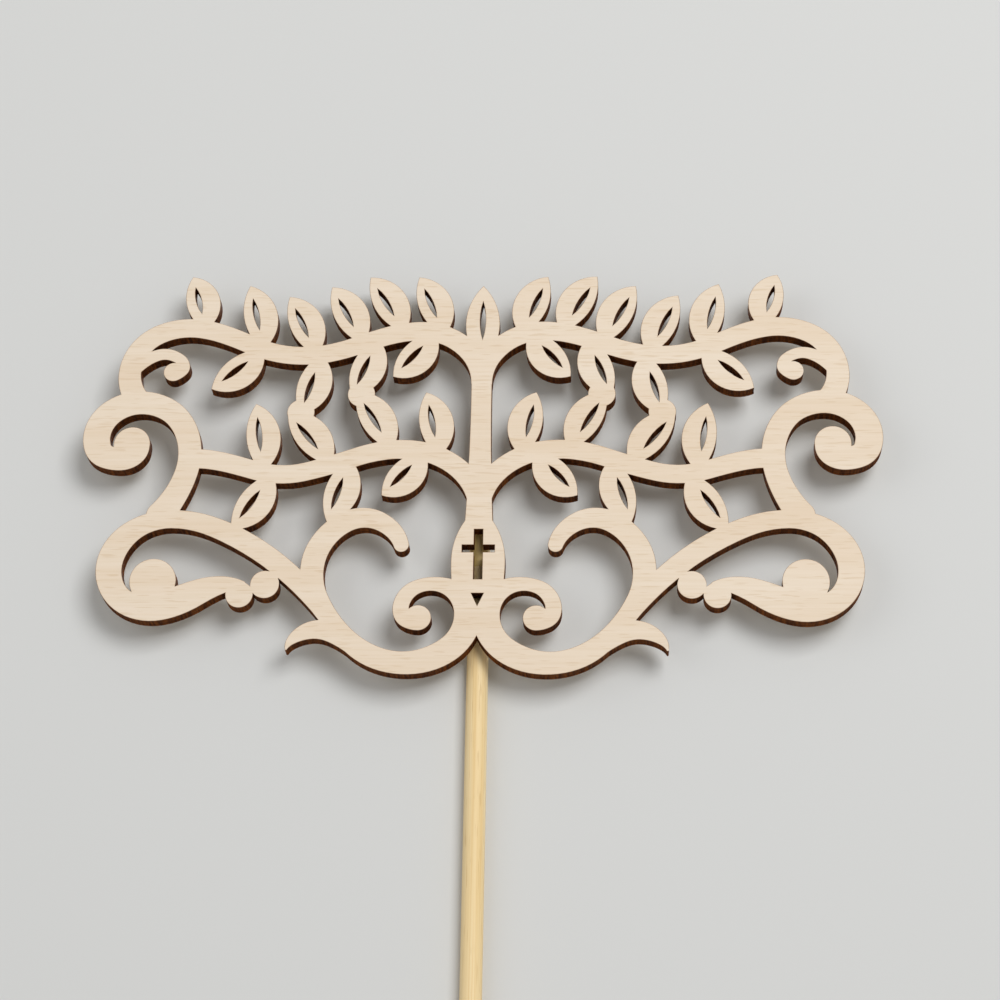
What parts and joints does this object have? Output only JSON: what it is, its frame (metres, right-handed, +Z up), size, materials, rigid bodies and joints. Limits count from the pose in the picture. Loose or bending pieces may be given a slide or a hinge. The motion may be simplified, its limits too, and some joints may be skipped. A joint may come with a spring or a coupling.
{
  "type": "cake topper",
  "caption": "Openwork plywood cake topper: a flat laser-cut plate of scrolls, leafy vine and a cross in a pointed oval, glued to a round pointed stick that is pushed into a cake",
  "frame": {"origin": "on the axis of the stick, level with the lowest edge of the plate, where the top of the cake comes when the stick is pushed right in", "axes": "+Z up along the stick, +X to the right seen from the front, the front of the plate faces -Y"},
  "size_m": [0.15, 0.0072, 0.2004],
  "materials": {
    "plate": "raw birch plywood, fine sanded face, edges browned by the laser",
    "stick": "raw round skewer, satin, fine fibres along its length",
    "glue": "set glue, milky and half clear"
  },
  "bodies": {
    "root": {"plate": "plate", "stick": "stick", "glue_bead": "glue"}
  },
  "joints": []
}
